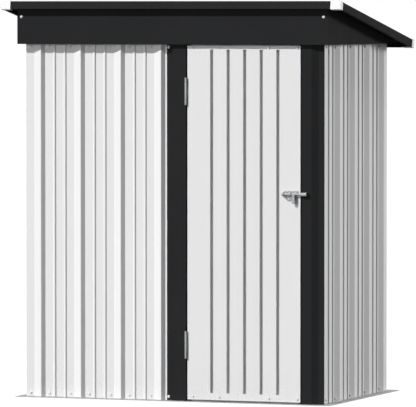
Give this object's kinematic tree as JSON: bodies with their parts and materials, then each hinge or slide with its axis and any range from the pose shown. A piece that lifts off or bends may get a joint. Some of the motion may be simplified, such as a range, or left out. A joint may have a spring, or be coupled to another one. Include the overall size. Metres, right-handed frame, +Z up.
{
  "type": "garden storage shed",
  "caption": "Small lean-to storage shed in ribbed sheet steel with a sloping roof, base rails, and a hinged door with a sliding bolt.",
  "frame": {"origin": "on the ground under the middle of the roof's outline", "axes": "+Z up, +Y from the doorway to the back wall, +X to the right as seen from the front"},
  "size_m": [1.616, 1.015, 1.7785],
  "materials": {
    "white_sheet": "smooth white coil coating, satin",
    "black_sheet": "dark anthracite coil coating, satin",
    "galvanised_steel": "bright zinc coating",
    "corner_plastic": "moulded off-white plastic"
  },
  "bodies": {
    "shed": {"back_base_rail": "galvanised_steel", "back_eaves_board": "black_sheet", "back_left_angle": "galvanised_steel", "back_left_cap": "corner_plastic", "back_right_angle": "galvanised_steel", "back_right_cap": "corner_plastic", "back_roof_trim": "black_sheet", "back_top_rail": "galvanised_steel", "back_wall_panel_left": "white_sheet", "back_wall_panel_right": "white_sheet", "corner_post": "black_sheet", "front_base_rail": "galvanised_steel", "front_header": "black_sheet", "front_left_angle": "galvanised_steel", "front_left_cap": "corner_plastic", "front_right_cap": "corner_plastic", "front_roof_trim": "black_sheet", "front_top_rail": "galvanised_steel", "front_wall_panel": "white_sheet", "hinge_post": "black_sheet", "latch_keeper": "galvanised_steel", "left_base_rail": "galvanised_steel", "left_gable": "black_sheet", "left_roof_trim": "black_sheet", "left_top_rail": "galvanised_steel", "left_wall_panel": "white_sheet", "lower_hinge_fixed_half": "galvanised_steel", "right_base_rail": "galvanised_steel", "right_gable": "black_sheet", "right_roof_trim": "black_sheet", "right_top_rail": "galvanised_steel", "right_wall_panel": "white_sheet", "roof_sheet_1": "black_sheet", "roof_sheet_2": "black_sheet", "roof_sheet_3": "black_sheet", "upper_hinge_fixed_half": "galvanised_steel"},
    "door": {"door_bottom_rail": "white_sheet", "door_hinge_stile": "white_sheet", "door_latch_stile": "white_sheet", "door_skin": "white_sheet", "door_top_rail": "white_sheet", "upper_hinge_moving_half": "galvanised_steel", "lower_hinge_moving_half": "galvanised_steel", "latch_plate": "galvanised_steel"},
    "latch_bolt": {"latch_bolt": "galvanised_steel"}
  },
  "joints": [
    {"name": "door_swing", "type": "hinge", "parent": "shed", "child": "door", "pos_m": [0.066, -0.461, 0.8], "axis": [0, 0, -1], "range_deg": [0, 105]},
    {"name": "latch_slide", "type": "slide", "parent": "door", "child": "latch_bolt", "axis": [1, 0, 0], "range_m": [0, 0.012]}
  ]
}
